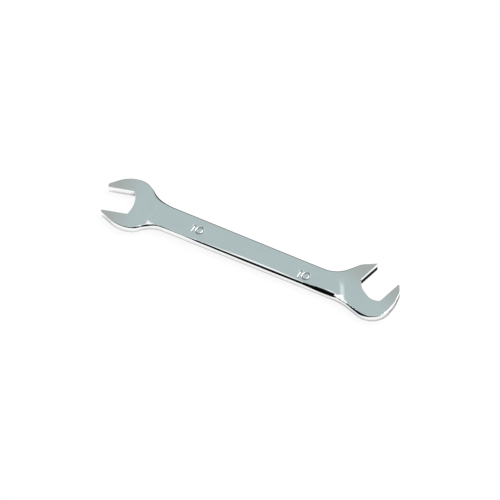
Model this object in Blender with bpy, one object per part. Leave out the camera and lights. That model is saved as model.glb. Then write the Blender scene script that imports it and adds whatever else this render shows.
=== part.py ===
"""Double open-end wrench, forged in one piece: a flat handle with a jaw head at each end.

Lengths are in metres and angles in degrees. X runs along the handle, from the slightly
turned head to the sharply turned one. Y runs across the handle, and Z is up. The origin is
the middle of the handle's lower face, which the wrench lies on.
"""

import math
from collections import namedtuple

import bmesh
import bpy
import numpy as np
from mathutils import Matrix, Vector

# Sizes of the whole tool
JAW_OPENING = 0.0101
THROAT_SPACING = 0.0846
HANDLE_WIDTH = 0.0097
HANDLE_THICKNESS = 0.0029
HEAD_THICKNESS = 0.0026

# How far each opening is turned from the handle, and how far its throat lies off the
# handle's middle line
SLIGHT_ANGLE = 15.0
SHARP_ANGLE = 75.0
SLIGHT_THROAT_OFFSET = 0.00015
SHARP_THROAT_OFFSET = 0.0013

# Distances of the handle's two sides from its middle line at the sharply turned head
SHARP_NECK_NEAR = 0.00442
SHARP_NECK_FAR = 0.00465

# Reach of the four jaw tips from the middle of the throat's floor
SLIGHT_NEAR_REACH = 0.01075
SLIGHT_FAR_REACH = 0.0106
SHARP_NEAR_REACH = 0.0106
SHARP_FAR_REACH = 0.0124

# Radii of the jaw tips in plan
SLIGHT_NEAR_TIP_RADIUS = 0.00035
SLIGHT_FAR_TIP_RADIUS = 0.00080
SHARP_NEAR_TIP_RADIUS = 0.00045
SHARP_FAR_TIP_RADIUS = 0.00040

# Backs of the jaws, from tip to neck. Each corner is its distance along the opening, its
# distance behind the flat that grips the nut, the radius that rounds it, and the width of
# the rounded edge there.
SLIGHT_NEAR_BACK = ((0.0029, 0.00577, 0.0119, 0.0004), (-0.0025, 0.0055, 0.0064, 0.0005))
SLIGHT_FAR_BACK = ((0.0105, 0.0015, 0.0007, 0.0003), (0.0049, 0.0056, 0.0101, 0.0004),
                   (-0.0018, 0.00537, 0.0071, 0.0005))
SHARP_NEAR_BACK = ((0.0080, 0.00245, 0.0035, 0.00015), (0.0033, 0.0041, 0.0110, 0.00015),
                   (-0.0079, 0.0054, 0.0068, 0.0005))
SHARP_FAR_BACK = ((0.0085, 0.0042, 0.0050, 0.0008),)

# Throats: how far the two corners stand forward of the floor, and their radii
SLIGHT_THROAT_CORNER = 0.00105
SLIGHT_THROAT_RADIUS = 0.00065
SLIGHT_FLOOR_BOW = 0.0005
SLIGHT_FLOOR_RADIUS = 0.0110
SHARP_NEAR_THROAT_CORNER = 0.0007
SHARP_NEAR_THROAT_RADIUS = 0.0010
SHARP_FAR_THROAT_CORNER = 0.0032
SHARP_FAR_THROAT_RADIUS = 0.0005
# The sharply turned head's floor: two corners, each with its distance forward, its distance
# across the opening and its radius
SHARP_FLOOR_CORNERS = ((-0.0008, -0.0023, 0.0040), (0.00075, 0.0023, 0.0035))

# Necks: where the backs meet the handle's sides, measured from each throat, and the radii
SLIGHT_NEAR_NECK = 0.0095
SLIGHT_FAR_NECK = 0.0086
SHARP_NEAR_NECK = 0.0066
SHARP_FAR_NECK = 0.0123
SLIGHT_NEAR_NECK_RADIUS = 0.0086
SLIGHT_FAR_NECK_RADIUS = 0.0154
SHARP_NEAR_NECK_RADIUS = 0.0170
SHARP_FAR_NECK_RADIUS = 0.0087

# Rounding of the long edges, as its width on the face, and its greatest depth
EDGE_WIDTH = 0.00105
TIP_EDGE_WIDTH = 0.00012
JAW_EDGE_WIDTH = 0.00007
EDGE_DEPTH = 0.00085

# Broader rounding of the near edge: its width, how far from the sharply turned head's throat
# it is widest, and how far before that it starts
SOFT_EDGE_WIDTH = 0.0014
SOFT_EDGE_PEAK = 0.0113
SOFT_EDGE_FADE = 0.0150

# Slopes between the handle's faces and the thinner heads: distance from each throat, width
# and the angle of the slope's line from square across
RAMP_WIDTH = 0.0036
SLIGHT_RAMP = 0.0075
SHARP_RAMP = 0.0080
SLIGHT_RAMP_SKEW = 0.0
SHARP_RAMP_SKEW = 28.0

# Fineness of the mesh
ARC_STEP = 4.0
ARC_CHORD = 0.0005
STRAIGHT_STEP = 0.0030
EDGE_STEPS = 2
RAMP_STEPS = 4
WELD = 1e-7
LEAST_TURN = math.radians(0.5)
FILLET_SHARE = 0.98
SHARP_CREASE = 50.0

# Polished chrome plate
CHROME_COLOUR = (0.80, 0.82, 0.82, 1.0)
CHROME_ROUGHNESS = 0.12

Corner = namedtuple("Corner", "place fillet edge")
Sample = namedtuple("Sample", "place outward edge")
Head = namedtuple("Head", "throat opening across")


def make_head(x, y, angle):
    """A head's frame in plan: its throat's middle, its opening's direction and across it."""
    turn = math.radians(angle)
    opening = Vector((math.cos(turn), math.sin(turn)))
    return Head(Vector((x, y)), opening, Vector((-opening.y, opening.x)))


def on_head(head, along, across):
    return head.throat + head.opening * along + head.across * across


SLIGHT_HEAD = make_head(-THROAT_SPACING / 2, SLIGHT_THROAT_OFFSET, 180.0 + SLIGHT_ANGLE)
SHARP_HEAD = make_head(THROAT_SPACING / 2, SHARP_THROAT_OFFSET, SHARP_ANGLE)


def back_corners(head, back, side):
    """Corners of a jaw's back, from tip to neck. Side is +1 or -1 across the opening."""
    half_gap = JAW_OPENING / 2
    return [Corner(on_head(head, along, side * (half_gap + behind)), fillet, edge)
            for along, behind, fillet, edge in back]


def throat_corner(head, along, side, fillet):
    """The corner where a jaw's gripping flat meets the throat's floor."""
    return Corner(on_head(head, along, side * JAW_OPENING / 2), fillet, JAW_EDGE_WIDTH)


def tip_corner(head, reach, side, fillet):
    """The corner at the free end of a jaw's gripping flat."""
    return Corner(on_head(head, reach, side * JAW_OPENING / 2), fillet, TIP_EDGE_WIDTH)


def neck_corner(x, y, fillet):
    return Corner(Vector((x, y)), fillet, EDGE_WIDTH)


def place_at(start, end, x):
    """The place at x on the straight side from start to end."""
    return start.lerp(end, (x - start.x) / (end.x - start.x))


def near_edge_corners():
    """The handle's near side, whose edge widens towards the sharply turned head."""
    start_x = SLIGHT_HEAD.throat.x + SLIGHT_NEAR_NECK
    end_x = SHARP_HEAD.throat.x - SHARP_NEAR_NECK
    start = neck_corner(start_x, -HANDLE_WIDTH / 2, SLIGHT_NEAR_NECK_RADIUS)
    end = neck_corner(end_x, -SHARP_NECK_NEAR, SHARP_NEAR_NECK_RADIUS)
    peak_x = SHARP_HEAD.throat.x - SOFT_EDGE_PEAK
    widening = Corner(place_at(start.place, end.place, peak_x - SOFT_EDGE_FADE), 0.0, EDGE_WIDTH)
    widest = Corner(place_at(start.place, end.place, peak_x), 0.0, SOFT_EDGE_WIDTH)
    return [start, widening, widest, end]


def sharp_head_corners():
    head = SHARP_HEAD
    floor = [Corner(on_head(head, along, across), fillet, JAW_EDGE_WIDTH)
             for along, across, fillet in SHARP_FLOOR_CORNERS]
    near_back = back_corners(head, SHARP_NEAR_BACK, -1)
    far_back = back_corners(head, SHARP_FAR_BACK, 1)
    return near_back[::-1] + [
        tip_corner(head, SHARP_NEAR_REACH, -1, SHARP_NEAR_TIP_RADIUS),
        throat_corner(head, SHARP_NEAR_THROAT_CORNER, -1, SHARP_NEAR_THROAT_RADIUS),
        *floor,
        throat_corner(head, SHARP_FAR_THROAT_CORNER, 1, SHARP_FAR_THROAT_RADIUS),
        tip_corner(head, SHARP_FAR_REACH, 1, SHARP_FAR_TIP_RADIUS),
    ] + far_back


def slight_head_corners():
    head = SLIGHT_HEAD
    near_back = back_corners(head, SLIGHT_NEAR_BACK, 1)
    far_back = back_corners(head, SLIGHT_FAR_BACK, -1)
    return far_back[::-1] + [
        tip_corner(head, SLIGHT_FAR_REACH, -1, SLIGHT_FAR_TIP_RADIUS),
        throat_corner(head, SLIGHT_THROAT_CORNER, -1, SLIGHT_THROAT_RADIUS),
        Corner(on_head(head, -SLIGHT_FLOOR_BOW, 0.0), SLIGHT_FLOOR_RADIUS, JAW_EDGE_WIDTH),
        throat_corner(head, SLIGHT_THROAT_CORNER, 1, SLIGHT_THROAT_RADIUS),
        tip_corner(head, SLIGHT_NEAR_REACH, 1, SLIGHT_NEAR_TIP_RADIUS),
    ] + near_back


def outline_corners():
    """The wrench in plan, counter-clockwise seen from above."""
    sharp_x = SHARP_HEAD.throat.x - SHARP_FAR_NECK
    slight_x = SLIGHT_HEAD.throat.x + SLIGHT_FAR_NECK
    far_necks = [
        neck_corner(sharp_x, SHARP_NECK_FAR, SHARP_FAR_NECK_RADIUS),
        neck_corner(slight_x, HANDLE_WIDTH / 2, SLIGHT_FAR_NECK_RADIUS),
    ]
    return near_edge_corners() + sharp_head_corners() + far_necks + slight_head_corners()


def fillet_arc(before, corner, after, room):
    """Places on one rounded corner with their outward directions.

    The radius is limited by the room on the corner's two sides.
    """
    to_before = (before.place - corner.place).normalized()
    to_after = (after.place - corner.place).normalized()
    half = to_before.angle(to_after) / 2
    turn = math.pi - 2 * half
    side = 1.0 if to_before.cross(to_after) < 0 else -1.0
    if corner.fillet <= 0 or turn < LEAST_TURN:
        along = (to_after - to_before).normalized()
        return [(corner.place, Vector((along.y, -along.x)))]
    radius = min(corner.fillet, room * math.tan(half))
    centre = corner.place + (to_before + to_after).normalized() * (radius / math.sin(half))
    spoke = to_before * (radius / math.tan(half)) + corner.place - centre
    steps = math.ceil(max(math.degrees(turn) / ARC_STEP, radius * turn / ARC_CHORD, 2))
    arc = []
    for i in range(steps + 1):
        turned = Matrix.Rotation(side * turn * i / steps, 2) @ spoke
        arc.append((centre + turned, turned.normalized() * side))
    return arc


def tangent_length(corners, i):
    """Length that the full fillet of corner i would take from each of its sides."""
    corner = corners[i]
    to_before = corners[i - 1].place - corner.place
    to_after = corners[(i + 1) % len(corners)].place - corner.place
    return corner.fillet / math.tan(to_before.angle(to_after) / 2)


def room_at(corners, i):
    """Length that the fillet of corner i may take from each of its two sides."""
    own = tangent_length(corners, i)
    room = math.inf
    for j in (i - 1, (i + 1) % len(corners)):
        length = (corners[j].place - corners[i].place).length
        wanted = own + tangent_length(corners, j)
        room = min(room, FILLET_SHARE * length * own / max(wanted, WELD))
    return room


def straight_between(end, start):
    """Places and outward directions between two points of the outline, without its ends."""
    gap = start - end
    outward = Vector((gap.y, -gap.x)).normalized()
    pieces = max(1, round(gap.length / STRAIGHT_STEP))
    return [(end + gap * k / pieces, outward) for k in range(1, pieces)]


def outline_samples():
    """Samples all round the outline, the width of the edge fading from corner to corner."""
    corners = outline_corners()
    count = len(corners)
    arcs = [fillet_arc(corners[i - 1], corners[i], corners[(i + 1) % count], room_at(corners, i))
            for i in range(count)]
    points = []
    middles = []
    for i, arc in enumerate(arcs):
        middles.append(len(points) + len(arc) // 2)
        points += arc + straight_between(arc[-1][0], arcs[(i + 1) % count][0][0])
    steps = [(b[0] - a[0]).length for a, b in zip(points, points[1:] + points[:1])]
    along = np.concatenate([[0.0], np.cumsum(steps)])
    widths = np.interp(along[:-1], along[middles], [c.edge for c in corners], period=along[-1])
    return [Sample(place, outward, width) for (place, outward), width in zip(points, widths)]


def smooth_share(value):
    share = min(max(value, 0.0), 1.0)
    return share * share * (3 - 2 * share)


def neck_frame(head, distance, skew, inward):
    """The middle of the slope at a head's neck, and the direction across it to the handle."""
    turn = math.radians(skew)
    normal = Vector((math.cos(turn), math.sin(turn))) * inward
    return normal, Vector((head.throat.x + inward * distance, 0.0))


def ramp_share(head, distance, skew, inward, place):
    """0 on a head's face and 1 on the handle's, across the slope between them."""
    normal, middle = neck_frame(head, distance, skew, inward)
    return smooth_share((place - middle).dot(normal) / RAMP_WIDTH + 0.5)


def half_thickness(place):
    """Half the wrench's thickness at a place in plan."""
    share = (ramp_share(SLIGHT_HEAD, SLIGHT_RAMP, SLIGHT_RAMP_SKEW, 1, place)
             * ramp_share(SHARP_HEAD, SHARP_RAMP, SHARP_RAMP_SKEW, -1, place))
    return (HEAD_THICKNESS + (HANDLE_THICKNESS - HEAD_THICKNESS) * share) / 2


def rim(samples, step, side):
    """One loop of the rounded edge above (side +1) or below (-1) the middle of the wall.

    Step 0 lies on the wall, and the last step where the rounding meets the face.
    """
    angle = math.pi / 2 * step / EDGE_STEPS
    points = []
    for sample in samples:
        depth = min(sample.edge, EDGE_DEPTH)
        place = sample.place - sample.outward * sample.edge * (1 - math.cos(angle))
        height = HANDLE_THICKNESS / 2 - depth * (1 - math.sin(angle))
        points.append((place.x, place.y, HANDLE_THICKNESS / 2 + side * height))
    return points


def extrude_to(mesh, face, points):
    """Extrude a face, and put its new copy's corners at the points."""
    made = bmesh.ops.extrude_face_region(mesh, geom=[face])["geom"]
    cap = next(piece for piece in made if isinstance(piece, bmesh.types.BMFace))
    for vert, point in zip(cap.verts, points):
        vert.co = point
    return cap


def cut_across_neck(mesh, head, distance, skew, inward):
    """Cut the faces along lines across a neck, so that they can slope between them."""
    normal, middle = neck_frame(head, distance, skew, inward)
    for i in range(RAMP_STEPS + 1):
        line = middle + normal * RAMP_WIDTH * (i / RAMP_STEPS - 0.5)
        everything = mesh.verts[:] + mesh.edges[:] + mesh.faces[:]
        bmesh.ops.bisect_plane(mesh, geom=everything, dist=WELD,
                               plane_co=line.to_3d(), plane_no=normal.to_3d())


def thin_heads(mesh):
    """Bring both faces of the heads and the slopes to their height."""
    for vert in mesh.verts:
        side = 1 if vert.co.z > HANDLE_THICKNESS / 2 else -1
        vert.co.z += side * (half_thickness(vert.co.xy) - HANDLE_THICKNESS / 2)


def build_mesh():
    """The closed solid, extruded from rim to rim and then sloped at the two necks."""
    samples = outline_samples()
    below = [rim(samples, step, -1) for step in range(EDGE_STEPS, -1, -1)]
    above = [rim(samples, step, 1) for step in range(EDGE_STEPS + 1)]
    loops = below + above
    mesh = bmesh.new()
    caps = [mesh.faces.new([mesh.verts.new(point) for point in loops[0]])]
    for points in loops[1:]:
        caps.append(extrude_to(mesh, caps[-1], points))
    bmesh.ops.delete(mesh, geom=caps[1:-1], context="FACES_ONLY")
    cut_across_neck(mesh, SLIGHT_HEAD, SLIGHT_RAMP, SLIGHT_RAMP_SKEW, 1)
    cut_across_neck(mesh, SHARP_HEAD, SHARP_RAMP, SHARP_RAMP_SKEW, -1)
    thin_heads(mesh)
    bmesh.ops.triangulate(mesh, faces=mesh.faces)
    bmesh.ops.recalc_face_normals(mesh, faces=mesh.faces)
    return mesh


def chrome():
    material = bpy.data.materials.new("chrome")
    material.use_nodes = True
    shader = material.node_tree.nodes["Principled BSDF"]
    shader.inputs["Base Color"].default_value = CHROME_COLOUR
    shader.inputs["Metallic"].default_value = 1.0
    shader.inputs["Roughness"].default_value = CHROME_ROUGHNESS
    return material


def build_wrench():
    mesh = build_mesh()
    data = bpy.data.meshes.new("wrench_body")
    mesh.to_mesh(data)
    mesh.free()
    data.materials.append(chrome())
    data.shade_smooth()
    data.set_sharp_from_angle(angle=math.radians(SHARP_CREASE))
    wrench = bpy.data.objects.new("wrench_body", data)
    bpy.context.scene.collection.objects.link(wrench)


for existing in list(bpy.data.objects):
    bpy.data.objects.remove(existing)
build_wrench()
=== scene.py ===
"""Looks of the double open-end wrench: its finished body, on the fixed frame.

Lengths are in millimetres and angles in degrees, and a finished mesh is brought to metres. X
runs along the handle to the sharply turned head, Y across the handle and Z up from the floor.
"""
import math
from collections import namedtuple

import bpy
import numpy as np
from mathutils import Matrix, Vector
from mathutils.geometry import delaunay_2d_cdt


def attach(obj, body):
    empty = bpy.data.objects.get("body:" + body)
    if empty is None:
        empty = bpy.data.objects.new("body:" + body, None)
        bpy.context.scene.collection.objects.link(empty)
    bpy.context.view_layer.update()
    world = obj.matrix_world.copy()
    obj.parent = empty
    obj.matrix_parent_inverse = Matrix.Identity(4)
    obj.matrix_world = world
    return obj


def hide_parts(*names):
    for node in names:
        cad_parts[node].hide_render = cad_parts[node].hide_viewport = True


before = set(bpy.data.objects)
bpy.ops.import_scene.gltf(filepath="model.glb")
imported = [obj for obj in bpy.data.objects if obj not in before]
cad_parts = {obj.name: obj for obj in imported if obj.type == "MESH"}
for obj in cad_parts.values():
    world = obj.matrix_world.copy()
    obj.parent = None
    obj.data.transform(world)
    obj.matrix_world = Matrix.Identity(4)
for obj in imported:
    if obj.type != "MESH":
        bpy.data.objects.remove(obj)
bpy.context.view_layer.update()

MM = 0.001

# Sizes of the whole tool
JAW_OPENING = 10.1
THROAT_SPACING = 84.6
HANDLE_WIDTH = 9.7
SHARP_NECK_SIDES = (4.42, 4.65)
HANDLE_THICKNESS = 2.9
HEAD_THICKNESS = 2.6

# Heads: how far each opening is turned, and how far its throat lies off the middle line
SLIGHT_ANGLE = 15.0
SHARP_ANGLE = 75.0
SLIGHT_THROAT_OFFSET = 0.15
SHARP_THROAT_OFFSET = 1.3

# Jaw tips: reach from the throat's floor, radius in plan and width of the rounded edge
SLIGHT_NEAR_TIP = (10.75, 0.35, 0.12)
SLIGHT_FAR_TIP = (10.6, 0.8, 0.12)
SHARP_NEAR_TIP = (10.6, 0.45, 0.12)
SHARP_FAR_TIP = (12.4, 0.40, 0.12)

# Backs of the jaws, from tip to neck: distance along the opening, distance behind the flat
# that grips the nut, radius, and width of the rounded edge
SLIGHT_NEAR_BACK = ((2.9, 5.77, 11.9, 0.4), (-2.5, 5.5, 6.4, 0.5))
SLIGHT_FAR_BACK = ((10.5, 1.5, 0.7, 0.3), (4.9, 5.6, 10.1, 0.4), (-1.8, 5.37, 7.1, 0.5))
SHARP_NEAR_BACK = ((8.0, 2.45, 3.5, 0.15), (3.3, 4.1, 11.0, 0.15), (-7.9, 5.4, 6.8, 0.5))
SHARP_FAR_BACK = ((8.5, 4.2, 5.0, 0.8),)

# Throats' corners at the gripping flats: distance forward of the floor and radius
SLIGHT_THROAT = (1.05, 0.65)
SHARP_NEAR_THROAT = (0.7, 1.0)
SHARP_FAR_THROAT = (3.2, 0.5)
# Corners of the throats' floors: distance forward, distance across from the middle, and radius
SLIGHT_FLOOR = ((-0.5, 0.0, 11.0),)
SHARP_FLOOR = ((-0.8, -2.3, 4.0), (0.75, 2.3, 3.5))

# Necks: distance from each throat and radius
SLIGHT_NEAR_NECK = (9.5, 8.6)
SLIGHT_FAR_NECK = (8.6, 15.4)
SHARP_NEAR_NECK = (6.6, 17.0)
SHARP_FAR_NECK = (12.3, 8.7)

# Rounded edges: width on the face, and how round their profile is, from 1 for a flat bevel to
# 2 for an oval
EDGE_WIDTH = 1.05
JAW_EDGE_WIDTH = 0.07
ROUND = 2.0
BEVELLED = 1.4
NEARLY_FLAT = 1.12
# The long sides are where the outline faces across the handle by this share, this far off its
# middle line
SIDE_FACING = 0.3
SIDE_PLACE = 3.0
# Along the two long sides: place on X, and width and depth of the upper edge there
NEAR_SIDE_EDGES = (
    (-27.0, 0.14, 0.15), (-24.0, 0.12, 0.12), (-21.0, 0.12, 0.12), (-18.5, 0.25, 0.22),
    (-17.0, 0.55, 0.40), (-14.8, 0.55, 0.48), (-8.2, 0.75, 0.50), (-3.6, 0.90, 0.54),
    (0.0, 1.10, 0.62), (11.6, 1.10, 0.66), (13.8, 1.00, 0.62), (18.0, 0.80, 0.58),
    (20.3, 0.76, 0.62), (22.4, 0.70, 0.62))
NEAR_NECK_EDGES = (
    (-52.5, 0.10, 0.10), (-43.0, 0.10, 0.10), (-40.9, 0.18, 0.16), (-37.9, 0.34, 0.26),
    (-36.0, 0.55, 0.42), (-34.0, 0.42, 0.40), (-32.5, 0.32, 0.36), (-30.0, 0.20, 0.26),
    (-27.0, 0.14, 0.15))
NEAR_HEAD_EDGES = (
    (22.4, 0.62, 0.60), (24.5, 0.76, 0.68), (26.8, 1.02, 0.85), (28.9, 1.24, 0.92),
    (31.0, 1.42, 0.88), (32.1, 1.42, 0.84), (33.1, 1.28, 0.76), (34.0, 0.80, 0.45),
    (34.7, 0.12, 0.10), (37.6, 0.10, 0.10), (38.6, 0.24, 0.28), (40.0, 0.34, 0.44),
    (42.6, 0.50, 0.62), (44.2, 0.52, 0.58), (45.5, 0.45, 0.40), (47.2, 0.26, 0.22),
    (48.6, 0.16, 0.15), (51.6, 0.10, 0.10))
FAR_SIDE_EDGES = (
    (-40.0, 0.50, 0.40), (-38.0, 1.20, 0.80), (-36.5, 1.50, 0.95), (-34.5, 1.40, 0.90),
    (-32.0, 1.10, 0.80), (-26.0, 0.95, 0.80), (28.0, 0.95, 0.80), (34.0, 0.80, 0.70),
    (36.5, 0.70, 0.60), (38.2, 0.50, 0.45))
# The gentle slopes above the near edge at both necks, in the same way
FLARE = (
    (-35.8, 0.08, 0.00), (-34.8, 1.50, 0.22), (-33.8, 2.10, 0.36), (-32.8, 1.50, 0.20),
    (-31.6, 0.08, 0.00), (34.0, 0.08, 0.00), (34.8, 1.20, 0.24), (35.6, 1.90, 0.45),
    (36.6, 1.70, 0.42), (38.0, 0.80, 0.20), (39.0, 0.08, 0.00))

# Slopes from the handle's faces to the heads': width, which shrinks towards the near side.
# Then for each distance from the throat, skew, and where it is narrow and wide on Y
RAMP_WIDTH = 9.0
NARROW_RAMP = 2.3
SLIGHT_RAMP = (7.5, 0.0, 3.0, 9.0)
SHARP_RAMP = (8.0, 28.0, 0.5, 5.5)

# Fineness of the outline, and the share of a straight side that its two fillets may fill
ARC_STEP = 4.0
ARC_CHORD = 0.5
STRAIGHT_STEP = 0.6
FILLET_SHARE = 0.98
# Rings along the rounded edges: how many, how far past the edge the last one lies, and the
# share of its inset that a ring's point keeps off every part of the outline
EDGE_STEPS = 10
EDGE_MARGIN = 0.04
RING_SHARE = 0.985
# Grids on the faces: steps, reach beside a neck's slope and round a mark, and distance kept
# off the outline
COARSE_GRID = 2.4
RAMP_GRID = 0.35
RAMP_REACH = 4.5
MARK_GRID = 0.07
MARK_MARGIN = 0.4
GRID_INSET = 0.1
# Points worked on at a time, and a very small step
CHUNK = 256
NUDGE = 1e-4

# The size marks: places of their middles, and the digits' height, width and advance
MARKS = ((21.0, -1.2), (-18.4, -0.3))
DIGIT_HEIGHT = 3.1
DIGIT_WIDTH = 2.5
DIGIT_ADVANCE = 2.1
# Their strokes: width, width of the shoulders, depth, and the end of the one's flag
STROKE = 0.26
MARK_SLOPE = 0.22
MARK_DEPTH = 0.10
FLAG = (-0.6, 0.9)

# The plate: its two shades; its colour at the jaws' tips and in the stamped strokes, both
# painted shade; and how strong the painted shade in the strokes is
PLATE_COOL = (0.84, 0.86, 0.88, 1.0)
PLATE_WARM = (0.92, 0.915, 0.90, 1.0)
PLATE_TIP_SHADE = (0.80, 0.735, 0.70, 1.0)
PLATE_STROKE_SHADE = (0.05, 0.06, 0.06, 1.0)
STROKE_SHADE_STRENGTH = 0.6
# Painted shade on the jaws: distances along the opening where it starts and is full
TIP_SHADE_ALONG = (-2.0, 8.0)
# Clouds and polishing lines: fineness per metre, strength and depth in metres
CLOUD_SCALE = 180.0
CLOUD_BUMP = (0.05, 0.0002)
LINE_SCALE = (60.0, 2500.0, 2500.0)
LINE_BUMP = (0.03, 0.00002)
# Range of the lines' noise that the roughness follows, and the roughness at its ends
LINE_RANGE = (0.3, 0.7)
ROUGHNESS = (0.05, 0.09)

# The photograph's view: the camera's aim, direction, distance and lens
AIM = Vector((0.974, 0.109, 2.75)) * MM
TO_CAMERA = Vector((0.2928, -0.5596, 0.7753)).normalized()
CAMERA_DISTANCE = 0.6865
SENSOR = 36.0
LENS = 152.06
CLIP_START = 0.01

# Sky: lightness of its parts, and the tint of its grey
WHITE = (1.0, 1.0, 1.0, 1.0)
SKY_GREY = 0.575
SKY_PALE = 0.72
SKY_BRIGHT = 1.08
SKY_STRIP = 0.08
SKY_DARK = 0.004
SKY_TINT = (0.83, 0.99, 1.0, 1.0)
# Where its far side turns pale and then bright, from left to right, bright again on the far
# left, and bright overhead
PALE_FROM = (-19.0, -13.0)
BRIGHT_FROM = (-13.0, -6.0)
BRIGHT_LEFT = (-40.0, -50.0)
BRIGHT_ABOVE = (58.0, 66.0)
# Where the low strip on the far side and the dark on the near side start, are full, fade and
# end, along the horizon and up from it
STRIP_ALONG = (-48.0, -40.0, 10.0, 25.0)
STRIP_UP = (1.0, 3.0, 28.0, 40.0)
DARK_ALONG = (-80.0, -70.0, 62.0, 74.0)
DARK_UP = (1.0, 3.0, 64.0, 72.0)

# Floor: size in metres, lightness under the lamp and by itself, and fineness of its shadow
FLOOR_SIZE = 6.0
FLOOR_MATT = 0.14
FLOOR_GLOW = 0.89
SHADOW_SAMPLES = 8
# The floor as the metal mirrors it: reach of the contact shadow, the openness of the sky over
# it at its dark and its light end, its lightness there, and where it deepens on X in metres
CONTACT_REACH = 2.5
CONTACT_OPENNESS = (0.50, 0.85)
CONTACT_DARK = 0.42
CONTACT_DARKEST = 0.10
CONTACT_LIGHT = 1.08
CONTACT_DEEPENS = (0.024, 0.040)
# The deep shadow beside the sharply turned head's far jaw: depth, and where it starts, is
# full, fades and ends
JAW_SHADOW = 0.97
SHADOW_ACROSS = (-0.3, 0.0, 0.88, 1.06)
SHADOW_ALONG = (3.0, 3.8, 12.4, 13.0)
# Where the mirrored floor falls off into the dark on the near side, in metres on Y
NEAR_FLOOR = (-0.021, -0.015)
# The lamp: direction from -Y towards +X, height, distance and size in metres, power in watts
LAMP_AROUND = 150.0
LAMP_HEIGHT = 50.0
LAMP_DISTANCE = 1.2
LAMP_SIZE = 0.9
LAMP_POWER = 5.0

Corner = namedtuple("Corner", "place fillet edge")
Head = namedtuple("Head", "throat opening across")
Outline = namedtuple("Outline", "places outward")
Edge = namedtuple("Edge", "widths depths shapes")


def make_head(x, y, angle):
    """A head's frame in plan: its throat's middle, its opening's direction and across it."""
    turn = math.radians(angle)
    opening = Vector((math.cos(turn), math.sin(turn)))
    return Head(Vector((x, y)), opening, Vector((-opening.y, opening.x)))


SLIGHT_HEAD = make_head(-THROAT_SPACING / 2, SLIGHT_THROAT_OFFSET, 180.0 + SLIGHT_ANGLE)
SHARP_HEAD = make_head(THROAT_SPACING / 2, SHARP_THROAT_OFFSET, SHARP_ANGLE)


def on_head(head, along, across):
    return head.throat + head.opening * along + head.across * across


def back_corners(head, back, side):
    """Corners of a jaw's back, from tip to neck. Side is +1 or -1 across the opening."""
    half_gap = JAW_OPENING / 2
    return [Corner(on_head(head, along, side * (half_gap + behind)), fillet, edge)
            for along, behind, fillet, edge in back]


def tip_corner(head, tip, side):
    """The corner at the free end of a jaw's gripping flat."""
    reach, fillet, edge = tip
    return Corner(on_head(head, reach, side * JAW_OPENING / 2), fillet, edge)


def throat_corner(head, throat, side):
    """The corner where a jaw's gripping flat meets the throat's floor."""
    along, fillet = throat
    return Corner(on_head(head, along, side * JAW_OPENING / 2), fillet, JAW_EDGE_WIDTH)


def floor_corners(head, floor):
    """Corners of a throat's floor."""
    return [Corner(on_head(head, along, across), fillet, JAW_EDGE_WIDTH)
            for along, across, fillet in floor]


def neck_corner(head, neck, inward, y):
    """The corner where a head's back meets the handle's side, at y."""
    distance, fillet = neck
    return Corner(Vector((head.throat.x + inward * distance, y)), fillet, EDGE_WIDTH)


def outline_corners():
    """The wrench in plan, counter-clockwise seen from above."""
    slight, sharp = SLIGHT_HEAD, SHARP_HEAD
    return [
        neck_corner(slight, SLIGHT_NEAR_NECK, 1, -HANDLE_WIDTH / 2),
        neck_corner(sharp, SHARP_NEAR_NECK, -1, -SHARP_NECK_SIDES[0]),
        *back_corners(sharp, SHARP_NEAR_BACK, -1)[::-1],
        tip_corner(sharp, SHARP_NEAR_TIP, -1),
        throat_corner(sharp, SHARP_NEAR_THROAT, -1),
        *floor_corners(sharp, SHARP_FLOOR),
        throat_corner(sharp, SHARP_FAR_THROAT, 1),
        tip_corner(sharp, SHARP_FAR_TIP, 1),
        *back_corners(sharp, SHARP_FAR_BACK, 1),
        neck_corner(sharp, SHARP_FAR_NECK, -1, SHARP_NECK_SIDES[1]),
        neck_corner(slight, SLIGHT_FAR_NECK, 1, HANDLE_WIDTH / 2),
        *back_corners(slight, SLIGHT_FAR_BACK, -1)[::-1],
        tip_corner(slight, SLIGHT_FAR_TIP, -1),
        throat_corner(slight, SLIGHT_THROAT, -1),
        *floor_corners(slight, SLIGHT_FLOOR),
        throat_corner(slight, SLIGHT_THROAT, 1),
        tip_corner(slight, SLIGHT_NEAR_TIP, 1),
        *back_corners(slight, SLIGHT_NEAR_BACK, 1),
    ]


def half_angle(corners, i):
    """Half the angle between the two sides that meet at corner i."""
    corner = corners[i].place
    before = corners[i - 1].place - corner
    after = corners[(i + 1) % len(corners)].place - corner
    return before.angle(after) / 2


def room_at(corners, i):
    """Length that the fillet of corner i may take from each of its two sides."""
    own = corners[i].fillet / math.tan(half_angle(corners, i))
    room = math.inf
    for j in ((i - 1) % len(corners), (i + 1) % len(corners)):
        length = (corners[j].place - corners[i].place).length
        wanted = own + corners[j].fillet / math.tan(half_angle(corners, j))
        room = min(room, FILLET_SHARE * length * own / wanted)
    return room


def fillet_arc(corners, i):
    """Places on one rounded corner with their outward directions."""
    corner = corners[i]
    to_before = (corners[i - 1].place - corner.place).normalized()
    to_after = (corners[(i + 1) % len(corners)].place - corner.place).normalized()
    half = half_angle(corners, i)
    turn = math.pi - 2 * half
    side = 1.0 if to_before.cross(to_after) < 0 else -1.0
    radius = min(corner.fillet, room_at(corners, i) * math.tan(half))
    centre = corner.place + (to_before + to_after).normalized() * (radius / math.sin(half))
    spoke = to_before * (radius / math.tan(half)) + corner.place - centre
    steps = math.ceil(max(math.degrees(turn) / ARC_STEP, radius * turn / ARC_CHORD, 2))
    arc = []
    for k in range(steps + 1):
        angle = side * turn * k / steps
        turned = Vector((math.cos(angle) * spoke.x - math.sin(angle) * spoke.y,
                         math.sin(angle) * spoke.x + math.cos(angle) * spoke.y))
        arc.append((centre + turned, turned.normalized() * side))
    return arc


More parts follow.
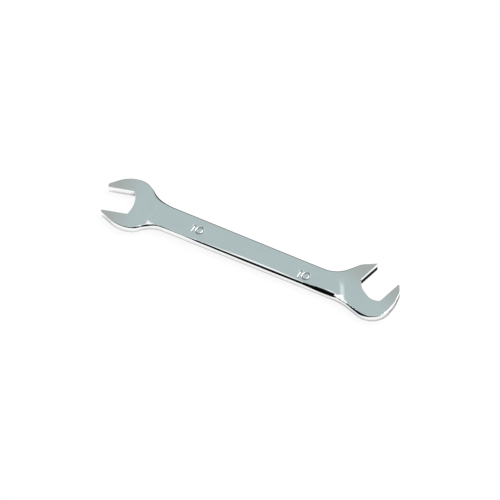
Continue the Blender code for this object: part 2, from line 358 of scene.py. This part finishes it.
def straight_between(end, start):
    """Places and outward directions between two points of the outline, without its ends."""
    gap = start - end
    outward = Vector((gap.y, -gap.x)).normalized()
    pieces = max(1, round(gap.length / STRAIGHT_STEP))
    return [(end + gap * k / pieces, outward) for k in range(1, pieces)]


def with_side(outline, edge, stations, side, shape):
    """The edge, with one long side of the wrench (+1 or -1 on Y) taking its own sizes."""
    x, y = outline.places.T
    at, widths, depths = np.array(stations).T
    there = (side * outline.outward[:, 1] > SIDE_FACING) & (side * y > SIDE_PLACE)
    there &= (x > at[0]) & (x < at[-1])
    return Edge(np.where(there, np.interp(x, at, widths), edge.widths),
                np.where(there, np.interp(x, at, depths), edge.depths),
                np.where(there, shape, edge.shapes))


def make_outline():
    """Samples all round the outline, and its plain edge, fading from corner to corner."""
    corners = outline_corners()
    count = len(corners)
    arcs = [fillet_arc(corners, i) for i in range(count)]
    points = []
    middles = []
    for i, arc in enumerate(arcs):
        middles.append(len(points) + len(arc) // 2)
        points += arc + straight_between(arc[-1][0], arcs[(i + 1) % count][0][0])
    places = np.array([place for place, _ in points])
    outward = np.array([direction for _, direction in points])
    steps = np.linalg.norm(np.roll(places, -1, 0) - places, axis=1)
    along = np.concatenate([[0.0], np.cumsum(steps)])
    edges = [corner.edge for corner in corners]
    widths = np.interp(along[:-1], along[middles], edges, period=along[-1])
    return Outline(places, outward), Edge(widths, widths, np.full(len(widths), ROUND))


OUTLINE, LOWER_EDGE = make_outline()
UPPER_EDGE = with_side(OUTLINE, LOWER_EDGE, NEAR_SIDE_EDGES, -1, BEVELLED)
UPPER_EDGE = with_side(OUTLINE, UPPER_EDGE, NEAR_NECK_EDGES, -1, NEARLY_FLAT)
UPPER_EDGE = with_side(OUTLINE, UPPER_EDGE, NEAR_HEAD_EDGES, -1, NEARLY_FLAT)
UPPER_EDGE = with_side(OUTLINE, UPPER_EDGE, FAR_SIDE_EDGES, 1, ROUND)
NO_EDGE = Edge(LOWER_EDGE.widths, np.zeros(len(OUTLINE.places)), LOWER_EDGE.shapes)
FLARE_EDGE = with_side(OUTLINE, NO_EDGE, FLARE, -1, BEVELLED)


def edge_field(points, edge):
    """Distance from the outline, and the drop of the rounded edge, at points in plan.

    Only the parts of the outline where the edge has a depth are looked at.
    """
    there = (edge.depths > 0) | (np.roll(edge.depths, -1) > 0)
    start = OUTLINE.places[there]
    span = (np.roll(OUTLINE.places, -1, 0) - OUTLINE.places)[there]
    length = (span ** 2).sum(1)
    width, depth, shape = (sizes[there] for sizes in edge)
    width_step, depth_step = ((np.roll(sizes, -1) - sizes)[there] for sizes in edge[:2])
    distance = np.empty(len(points))
    drop = np.empty(len(points))
    for first in range(0, len(points), CHUNK):
        some = points[first:first + CHUNK]
        offset = some[:, None] - start[None]
        share = np.clip((offset * span).sum(2) / length, 0.0, 1.0)
        away = np.linalg.norm(offset - share[..., None] * span, axis=2)
        here = width + share * width_step
        inside = np.clip(1.0 - away / here, 0.0, 1.0)
        fall = (depth + share * depth_step) * (1.0 - (1.0 - inside ** shape) ** (1.0 / shape))
        distance[first:first + CHUNK] = away.min(1)
        drop[first:first + CHUNK] = fall.max(1)
    return distance, drop


def is_inside(points):
    """Whether points in plan lie inside the outline, by counting crossings."""
    a = OUTLINE.places
    b = np.roll(a, -1, 0)
    inside = np.zeros(len(points), bool)
    for first in range(0, len(points), CHUNK):
        x, y = points[first:first + CHUNK, None, 0], points[first:first + CHUNK, None, 1]
        crosses = (a[:, 1] > y) != (b[:, 1] > y)
        rise = np.where(b[:, 1] == a[:, 1], 1.0, b[:, 1] - a[:, 1])
        reach = a[:, 0] + (y - a[:, 1]) * (b[:, 0] - a[:, 0]) / rise
        inside[first:first + CHUNK] = (crosses & (x < reach)).sum(1) % 2 == 1
    return inside


def smooth_share(value):
    share = np.clip(value, 0.0, 1.0)
    return share * share * (3 - 2 * share)


def ramp_offset(head, ramp, inward, points):
    """Distance from the middle of a neck's slope, towards the handle."""
    distance, skew = ramp[:2]
    turn = math.radians(skew)
    across = (points[:, 0] - head.throat.x - inward * distance) * math.cos(turn)
    return inward * (across + points[:, 1] * math.sin(turn))


def ramp_offsets(points):
    return (ramp_offset(SLIGHT_HEAD, SLIGHT_RAMP, 1, points),
            ramp_offset(SHARP_HEAD, SHARP_RAMP, -1, points))


def face_height(points):
    """Height of the upper face above the middle of the thickness, without edges or marks."""
    share = 1.0
    for ramp, offset in zip((SLIGHT_RAMP, SHARP_RAMP), ramp_offsets(points)):
        width = np.interp(points[:, 1], ramp[2:], (NARROW_RAMP, RAMP_WIDTH))
        share = share * smooth_share(offset / width + 0.5)
    return (HEAD_THICKNESS + (HANDLE_THICKNESS - HEAD_THICKNESS) * share) / 2


def segment_distance(points, a, b):
    """Distance from points in plan to a straight stroke."""
    a, b = np.array(a), np.array(b)
    share = np.clip((points - a) @ (b - a) / ((b - a) @ (b - a)), 0.0, 1.0)
    return np.linalg.norm(points - a - share[:, None] * (b - a), axis=1)


def oval_distance(points, half_width, half_height):
    """Distance from points in plan to an upright oval ring round the origin."""
    size = np.hypot(points[:, 0] / half_width, points[:, 1] / half_height)
    slope = np.hypot(points[:, 0] / half_width ** 2, points[:, 1] / half_height ** 2)
    return np.abs(size - 1.0) * size / np.maximum(slope, NUDGE)


def stroke_height(distance):
    """Height of a stamped stroke with rounded shoulders."""
    return -MARK_DEPTH * smooth_share((STROKE / 2 + MARK_SLOPE - distance) / MARK_SLOPE)


def mark_height(points):
    """Relief of the size marks, each the two digits of ten."""
    height = np.zeros(len(points))
    half_height = (DIGIT_HEIGHT - STROKE) / 2
    half_width = (DIGIT_WIDTH - STROKE) / 2
    for middle in MARKS:
        local = points - np.array(middle)
        one = local + np.array((DIGIT_ADVANCE / 2, 0.0))
        stem = segment_distance(one, (0.0, -half_height), (0.0, half_height))
        flag = segment_distance(one, (0.0, half_height), FLAG)
        zero = local - np.array((DIGIT_ADVANCE / 2, 0.0))
        oval = oval_distance(zero, half_width, half_height)
        height = height + stroke_height(np.minimum(np.minimum(stem, flag), oval))
    return height


def surface_height(points, edge, marked):
    height = face_height(points) - edge_field(points, edge)[1]
    if marked:
        height = height + mark_height(points) - edge_field(points, FLARE_EDGE)[1]
    return height


def surface_normals(points, edge, marked):
    """Upward normals of the face, from its slopes over a very small step."""
    slopes = []
    for axis in (0, 1):
        step = np.zeros(2)
        step[axis] = NUDGE
        rise = surface_height(points + step, edge, marked) - surface_height(points - step, edge, marked)
        slopes.append(rise / (2 * NUDGE))
    normals = np.column_stack([-slopes[0], -slopes[1], np.ones(len(points))])
    return normals / np.linalg.norm(normals, axis=1)[:, None]


def grid(low, high, step):
    """Points of a grid over a box in plan, every other row shifted by half a step."""
    xs = np.arange(low[0], high[0], step)
    ys = np.arange(low[1], high[1], step * math.sqrt(0.75))
    rows = [np.column_stack([xs + (k % 2) * step / 2, np.full(len(xs), y)]) for k, y in enumerate(ys)]
    return np.concatenate(rows)


def edge_rings(edge):
    """Points inside the outline, in rings that follow the rounded edge."""
    rings = []
    shares = [(1 - math.cos(math.pi * k / EDGE_STEPS)) / 2 for k in range(1, EDGE_STEPS)]
    for inset in [edge.widths * share for share in shares] + [edge.widths + EDGE_MARGIN]:
        places = OUTLINE.places - OUTLINE.outward * inset[:, None]
        inside = is_inside(places)
        distance, _ = edge_field(places, edge)
        rings.append(places[inside & (distance > inset * RING_SHARE)])
    return np.concatenate(rings)


def plan_points(edge, marked):
    """Inner points of a face: rings at the edge, and grids where the face isn't flat."""
    low = OUTLINE.places.min(0)
    high = OUTLINE.places.max(0)
    coarse = grid(low, high, COARSE_GRID)
    fine = grid(low, high, RAMP_GRID)
    slight, sharp = ramp_offsets(fine)
    fine = fine[(np.abs(slight) < RAMP_REACH) | (np.abs(sharp) < RAMP_REACH)]
    inner = np.concatenate([coarse, fine])
    if marked:
        reach = np.array((DIGIT_ADVANCE / 2 + DIGIT_WIDTH / 2, DIGIT_HEIGHT / 2)) + MARK_MARGIN
        for middle in np.array(MARKS):
            apart = (np.abs(inner - middle) > reach).any(1)
            inner = np.concatenate([inner[apart], grid(middle - reach, middle + reach, MARK_GRID)])
    inner = inner[is_inside(inner)]
    distance, drop = edge_field(inner, edge)
    inner = inner[(drop <= 0.0) & (distance > GRID_INSET)]
    return np.concatenate([edge_rings(edge), inner])


def triangulate_face(edge, marked):
    """A face's inner points, and its triangles. The outline's points come first."""
    inner = plan_points(edge, marked)
    count = len(OUTLINE.places)
    everything = np.concatenate([OUTLINE.places, inner])
    edges = [(i, (i + 1) % count) for i in range(count)]
    made = delaunay_2d_cdt([Vector(p) for p in everything], edges, [], 1, NUDGE, True)
    triangles, sources = made[2:4]
    order = [min(ids) for ids in sources]
    used = sorted({i for i in order if i >= count})
    renamed = {old: count + k for k, old in enumerate(used)}
    renamed.update((i, i) for i in range(count))
    faces = np.array([[renamed[order[v]] for v in triangle] for triangle in triangles])
    points = np.concatenate([OUTLINE.places, everything[used]])
    faces = faces[is_inside(points[faces].mean(1))]
    return everything[used], [tuple(face) for face in faces.tolist()]


def half_body(side, edge, marked):
    """Vertices, normals and triangles of the upper (side +1) or lower (-1) half."""
    inner, faces = triangulate_face(edge, marked)
    rim_height = face_height(OUTLINE.places) - edge.depths
    if marked:
        rim_height = rim_height - FLARE_EDGE.depths
    rim = np.column_stack([OUTLINE.places, rim_height])
    rim_normals = np.column_stack([OUTLINE.outward, np.zeros(len(rim))])
    face = np.column_stack([inner, surface_height(inner, edge, marked)])
    verts = np.concatenate([rim, face]) * (1, 1, side) + (0, 0, HANDLE_THICKNESS / 2)
    normals = np.concatenate([rim_normals, surface_normals(inner, edge, marked)]) * (1, 1, side)
    if side < 0:
        faces = [face[::-1] for face in faces]
    return verts, normals, faces


def tip_shade_share(points):
    """Share of painted shade on the plate: 0 on the handle, 1 at the jaws' tips."""
    share = np.zeros(len(points))
    for head in (SLIGHT_HEAD, SHARP_HEAD):
        along = (points - np.array(head.throat)) @ np.array(head.opening)
        apart = (points[:, 0] > 0) == (head is SLIGHT_HEAD)
        share = np.maximum(share, smooth_share((along - TIP_SHADE_ALONG[0]) / (TIP_SHADE_ALONG[1] - TIP_SHADE_ALONG[0])) * ~apart)
    return share


def set_attribute(data, name, values):
    """Keep a number at each of the mesh's first points, and 0 at the rest."""
    kept = np.zeros(len(data.vertices))
    kept[:len(values)] = values
    data.attributes.new(name, "FLOAT", "POINT").data.foreach_set("value", kept)


def build_body():
    """The finished wrench as one closed mesh."""
    top, top_normals, top_faces = half_body(1, UPPER_EDGE, True)
    low, low_normals, low_faces = half_body(-1, LOWER_EDGE, False)
    count = len(OUTLINE.places)
    shift = len(top)
    walls = [(i, i + shift, (i + 1) % count + shift, (i + 1) % count) for i in range(count)]
    low_faces = [tuple(v + shift for v in face) for face in low_faces]
    data = bpy.data.meshes.new("wrench")
    verts = np.concatenate([top, low]) * MM
    data.from_pydata(verts.tolist(), [], top_faces + low_faces + walls)
    data.shade_smooth()
    data.normals_split_custom_set_from_vertices(np.concatenate([top_normals, low_normals]).tolist())
    # Painted shade: the stamped strokes' depth share, by which their colour is darkened
    set_attribute(data, "stamped", -mark_height(top[:, :2]) / MARK_DEPTH)
    # Painted shade: share of the darker, warmer plate towards the jaws' tips, off the rim and rounded
    # edges
    tip_shade = tip_shade_share(top[:, :2])
    tip_shade[:count] = 0.0
    tip_shade *= edge_field(top[:, :2], UPPER_EDGE)[1] <= 0.0
    set_attribute(data, "painted_tip_shade", tip_shade)
    body = bpy.data.objects.new("wrench", data)
    bpy.context.scene.collection.objects.link(body)
    return body


class Shader:
    """A node tree with short calls that add a node and link its inputs."""

    def __init__(self, tree):
        self.tree = tree
        tree.nodes.clear()

    def add(self, kind, settings=None, **inputs):
        """A new node. Inputs are given by name, or by an i and their number."""
        node = self.tree.nodes.new("ShaderNode" + kind)
        for name, value in (settings or {}).items():
            setattr(node, name, value)
        for name, value in inputs.items():
            self.put(node, int(name[1:]) if name[0] == "i" and name[1:].isdigit() else name, value)
        return node

    def put(self, node, name, value):
        """Link a socket, or set its value. Underlines in a name stand for spaces."""
        key = name.replace("_", " ") if isinstance(name, str) else name
        if isinstance(value, bpy.types.NodeSocket):
            self.tree.links.new(value, node.inputs[key])
        else:
            node.inputs[key].default_value = value

    def math(self, operation, a, b=0.0):
        return self.add("Math", {"operation": operation}, i0=a, i1=b).outputs[0]

    def smooth(self, value, low, high, bottom=0.0, top=1.0):
        """A smooth rise from bottom to top as the value goes from low to high."""
        node = self.add("MapRange", {"interpolation_type": "SMOOTHSTEP"}, i0=value, i1=low, i2=high,
                        i3=bottom, i4=top)
        return node.outputs[0]

    def window(self, value, start, full, fading, end):
        """Rises from 0 to 1 between start and full, and falls again between fading and end."""
        rise = self.smooth(value, start, full)
        return self.math("MULTIPLY", rise, self.smooth(value, fading, end, 1.0, 0.0))

    def blend(self, share, first, second):
        """A number between two numbers."""
        node = self.add("Mix", {"data_type": "FLOAT"}, i0=share, i2=first, i3=second)
        return node.outputs[0]

    def mix(self, share, first, second):
        """A colour between two colours."""
        node = self.add("Mix", {"data_type": "RGBA"}, i0=share, i6=first, i7=second)
        return node.outputs[2]

    def grey(self, value):
        """A neutral colour of a given lightness."""
        return self.add("CombineColor", i0=value, i1=value, i2=value).outputs[0]


def chrome():
    """Bright polished plate with faint cloudy patches and fine polishing lines."""
    material = bpy.data.materials.new("chrome_plate")
    material.use_nodes = True
    shader = Shader(material.node_tree)
    place = shader.add("TexCoord").outputs["Object"]
    clouds = shader.add("TexNoise", Vector=place, Scale=CLOUD_SCALE, Detail=3.0, Roughness=0.5)
    clouds = clouds.outputs["Fac"]
    stretched = shader.add("Mapping", Vector=place, Scale=LINE_SCALE).outputs[0]
    lines = shader.add("TexNoise", Vector=stretched, Scale=1.0, Detail=2.0).outputs["Fac"]
    painted_tip_shade = shader.add("Attribute", {"attribute_name": "painted_tip_shade"}).outputs["Fac"]
    stamped = shader.add("Attribute", {"attribute_name": "stamped"}).outputs["Fac"]
    colour = shader.mix(clouds, PLATE_COOL, PLATE_WARM)
    # Painted shade: the plate darker and warmer towards the jaws' tips
    colour = shader.mix(painted_tip_shade, colour, PLATE_TIP_SHADE)
    # Painted shade: the stamped strokes darker the deeper they go
    colour = shader.mix(shader.math("MULTIPLY", stamped, STROKE_SHADE_STRENGTH), colour, PLATE_STROKE_SHADE)
    rough = shader.smooth(lines, *LINE_RANGE, *ROUGHNESS)
    strength, depth = CLOUD_BUMP
    waves = shader.add("Bump", Height=clouds, Strength=strength, Distance=depth)
    strength, depth = LINE_BUMP
    scratches = shader.add("Bump", Height=lines, Strength=strength, Distance=depth,
                           Normal=waves.outputs[0])
    surface = shader.add("BsdfPrincipled", Base_Color=colour, Metallic=1.0, Roughness=rough,
                         Normal=scratches.outputs[0])
    out = shader.add("OutputMaterial")
    shader.put(out, "Surface", surface.outputs[0])
    return material


def build_world():
    """A studio sky: a grey far side with a dark low strip, and a dark near side."""
    world = bpy.data.worlds.new("studio")
    bpy.context.scene.world = world
    world.use_nodes = True
    shader = Shader(world.node_tree)
    split = shader.add("SeparateXYZ", Vector=shader.add("TexCoord").outputs["Generated"])
    x, y, z = split.outputs
    height = shader.math("DEGREES", shader.math("ARCSINE", z))
    far = shader.math("DEGREES", shader.math("ARCTAN2", x, y))
    near = shader.math("DEGREES", shader.math("ARCTAN2", x, shader.math("MULTIPLY", y, -1.0)))
    level = shader.smooth(far, *PALE_FROM, SKY_GREY, SKY_PALE)
    level = shader.blend(shader.smooth(far, *BRIGHT_FROM), level, SKY_BRIGHT)
    level = shader.blend(shader.smooth(far, *BRIGHT_LEFT), level, SKY_BRIGHT)
    strip = shader.window(far, *STRIP_ALONG)
    strip = shader.math("MULTIPLY", strip, shader.window(height, *STRIP_UP))
    level = shader.blend(strip, level, SKY_STRIP)
    level = shader.blend(shader.smooth(height, *BRIGHT_ABOVE), level, SKY_BRIGHT)
    dark = shader.window(near, *DARK_ALONG)
    dark = shader.math("MULTIPLY", dark, shader.window(height, *DARK_UP))
    sky = shader.blend(dark, level, SKY_DARK)
    light = shader.add("LightPath")
    shown = shader.blend(light.outputs["Is Camera Ray"], sky, 1.0)
    tint = shader.mix(shader.smooth(shown, SKY_GREY, SKY_BRIGHT), SKY_TINT, WHITE)
    background = shader.add("Background", Color=tint, Strength=shown)
    out = shader.add("OutputWorld")
    shader.put(out, "Surface", background.outputs[0])


def jaw_shadow(shader):
    """1 on the floor close beside the sharply turned head's far jaw, in the opening."""
    head = SHARP_HEAD
    split = shader.add("SeparateXYZ", Vector=shader.add("TexCoord").outputs["Object"])
    x = shader.math("SUBTRACT", split.outputs[0], head.throat.x * MM)
    y = shader.math("SUBTRACT", split.outputs[1], head.throat.y * MM)
    along, across = (shader.math("ADD", shader.math("MULTIPLY", x, way.x / MM),
                                 shader.math("MULTIPLY", y, way.y / MM))
                     for way in (head.opening, head.across))
    beside = shader.math("SUBTRACT", JAW_OPENING / 2, across)
    return shader.math("MULTIPLY", shader.window(beside, *SHADOW_ACROSS),
                       shader.window(along, *SHADOW_ALONG))


def floor_material():
    """White floor that keeps a soft shadow, a deeper one where the metal mirrors it."""
    material = bpy.data.materials.new("floor_white")
    material.use_nodes = True
    shader = Shader(material.node_tree)
    light = shader.add("LightPath")
    camera, mirror = light.outputs["Is Camera Ray"], light.outputs["Is Glossy Ray"]
    matt = shader.add("BsdfDiffuse", Color=shader.grey(shader.blend(mirror, FLOOR_MATT, 0.0)))
    open_sky = shader.add("AmbientOcclusion", {"samples": SHADOW_SAMPLES}, Distance=CONTACT_REACH * MM)
    open_sky = open_sky.outputs["AO"]
    split = shader.add("SeparateXYZ", Vector=shader.add("TexCoord").outputs["Object"])
    x, y = split.outputs[:2]
    dark = shader.smooth(x, *CONTACT_DEEPENS, CONTACT_DARK, CONTACT_DARKEST)
    mirrored = shader.blend(shader.smooth(open_sky, *CONTACT_OPENNESS), dark, CONTACT_LIGHT)
    lit = shader.math("SUBTRACT", 1.0, shader.math("MULTIPLY", jaw_shadow(shader), JAW_SHADOW))
    mirrored = shader.math("MULTIPLY", mirrored, lit)
    mirrored = shader.math("MULTIPLY", mirrored, shader.smooth(y, *NEAR_FLOOR))
    glow = shader.math("ADD", shader.math("MULTIPLY", camera, FLOOR_GLOW),
                       shader.math("MULTIPLY", mirror, mirrored))
    glow = shader.add("Emission", Color=WHITE, Strength=glow)
    both = shader.add("AddShader", i0=matt.outputs[0], i1=glow.outputs[0])
    out = shader.add("OutputMaterial")
    shader.put(out, "Surface", both.outputs[0])
    return material


def build_floor():
    bpy.ops.mesh.primitive_plane_add(size=FLOOR_SIZE)
    floor = bpy.context.object
    floor.name = "floor"
    floor.data.materials.append(floor_material())


def build_lamp():
    """A soft lamp high on the far right."""
    data = bpy.data.lights.new("soft_lamp", "AREA")
    data.shape = "SQUARE"
    data.size = LAMP_SIZE
    data.energy = LAMP_POWER
    lamp = bpy.data.objects.new("soft_lamp", data)
    away = math.radians(LAMP_AROUND)
    up = math.radians(LAMP_HEIGHT)
    towards = Vector((math.sin(away) * math.cos(up), -math.cos(away) * math.cos(up), math.sin(up)))
    lamp.location = towards * LAMP_DISTANCE
    lamp.rotation_euler = towards.to_track_quat("Z", "Y").to_euler()
    bpy.context.scene.collection.objects.link(lamp)


def build_camera():
    data = bpy.data.cameras.new("camera")
    data.sensor_width = SENSOR
    data.lens = LENS
    data.clip_start = CLIP_START
    camera = bpy.data.objects.new("camera", data)
    camera.location = AIM + TO_CAMERA * CAMERA_DISTANCE
    camera.rotation_euler = TO_CAMERA.to_track_quat("Z", "Y").to_euler()
    bpy.context.scene.collection.objects.link(camera)
    bpy.context.scene.camera = camera


def build_wrench():
    body = build_body()
    body.data.materials.append(chrome())
    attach(body, "root")
    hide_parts("wrench_body")


bpy.context.scene.view_settings.view_transform = "Standard"
build_camera()
build_world()
build_lamp()
build_floor()
build_wrench()
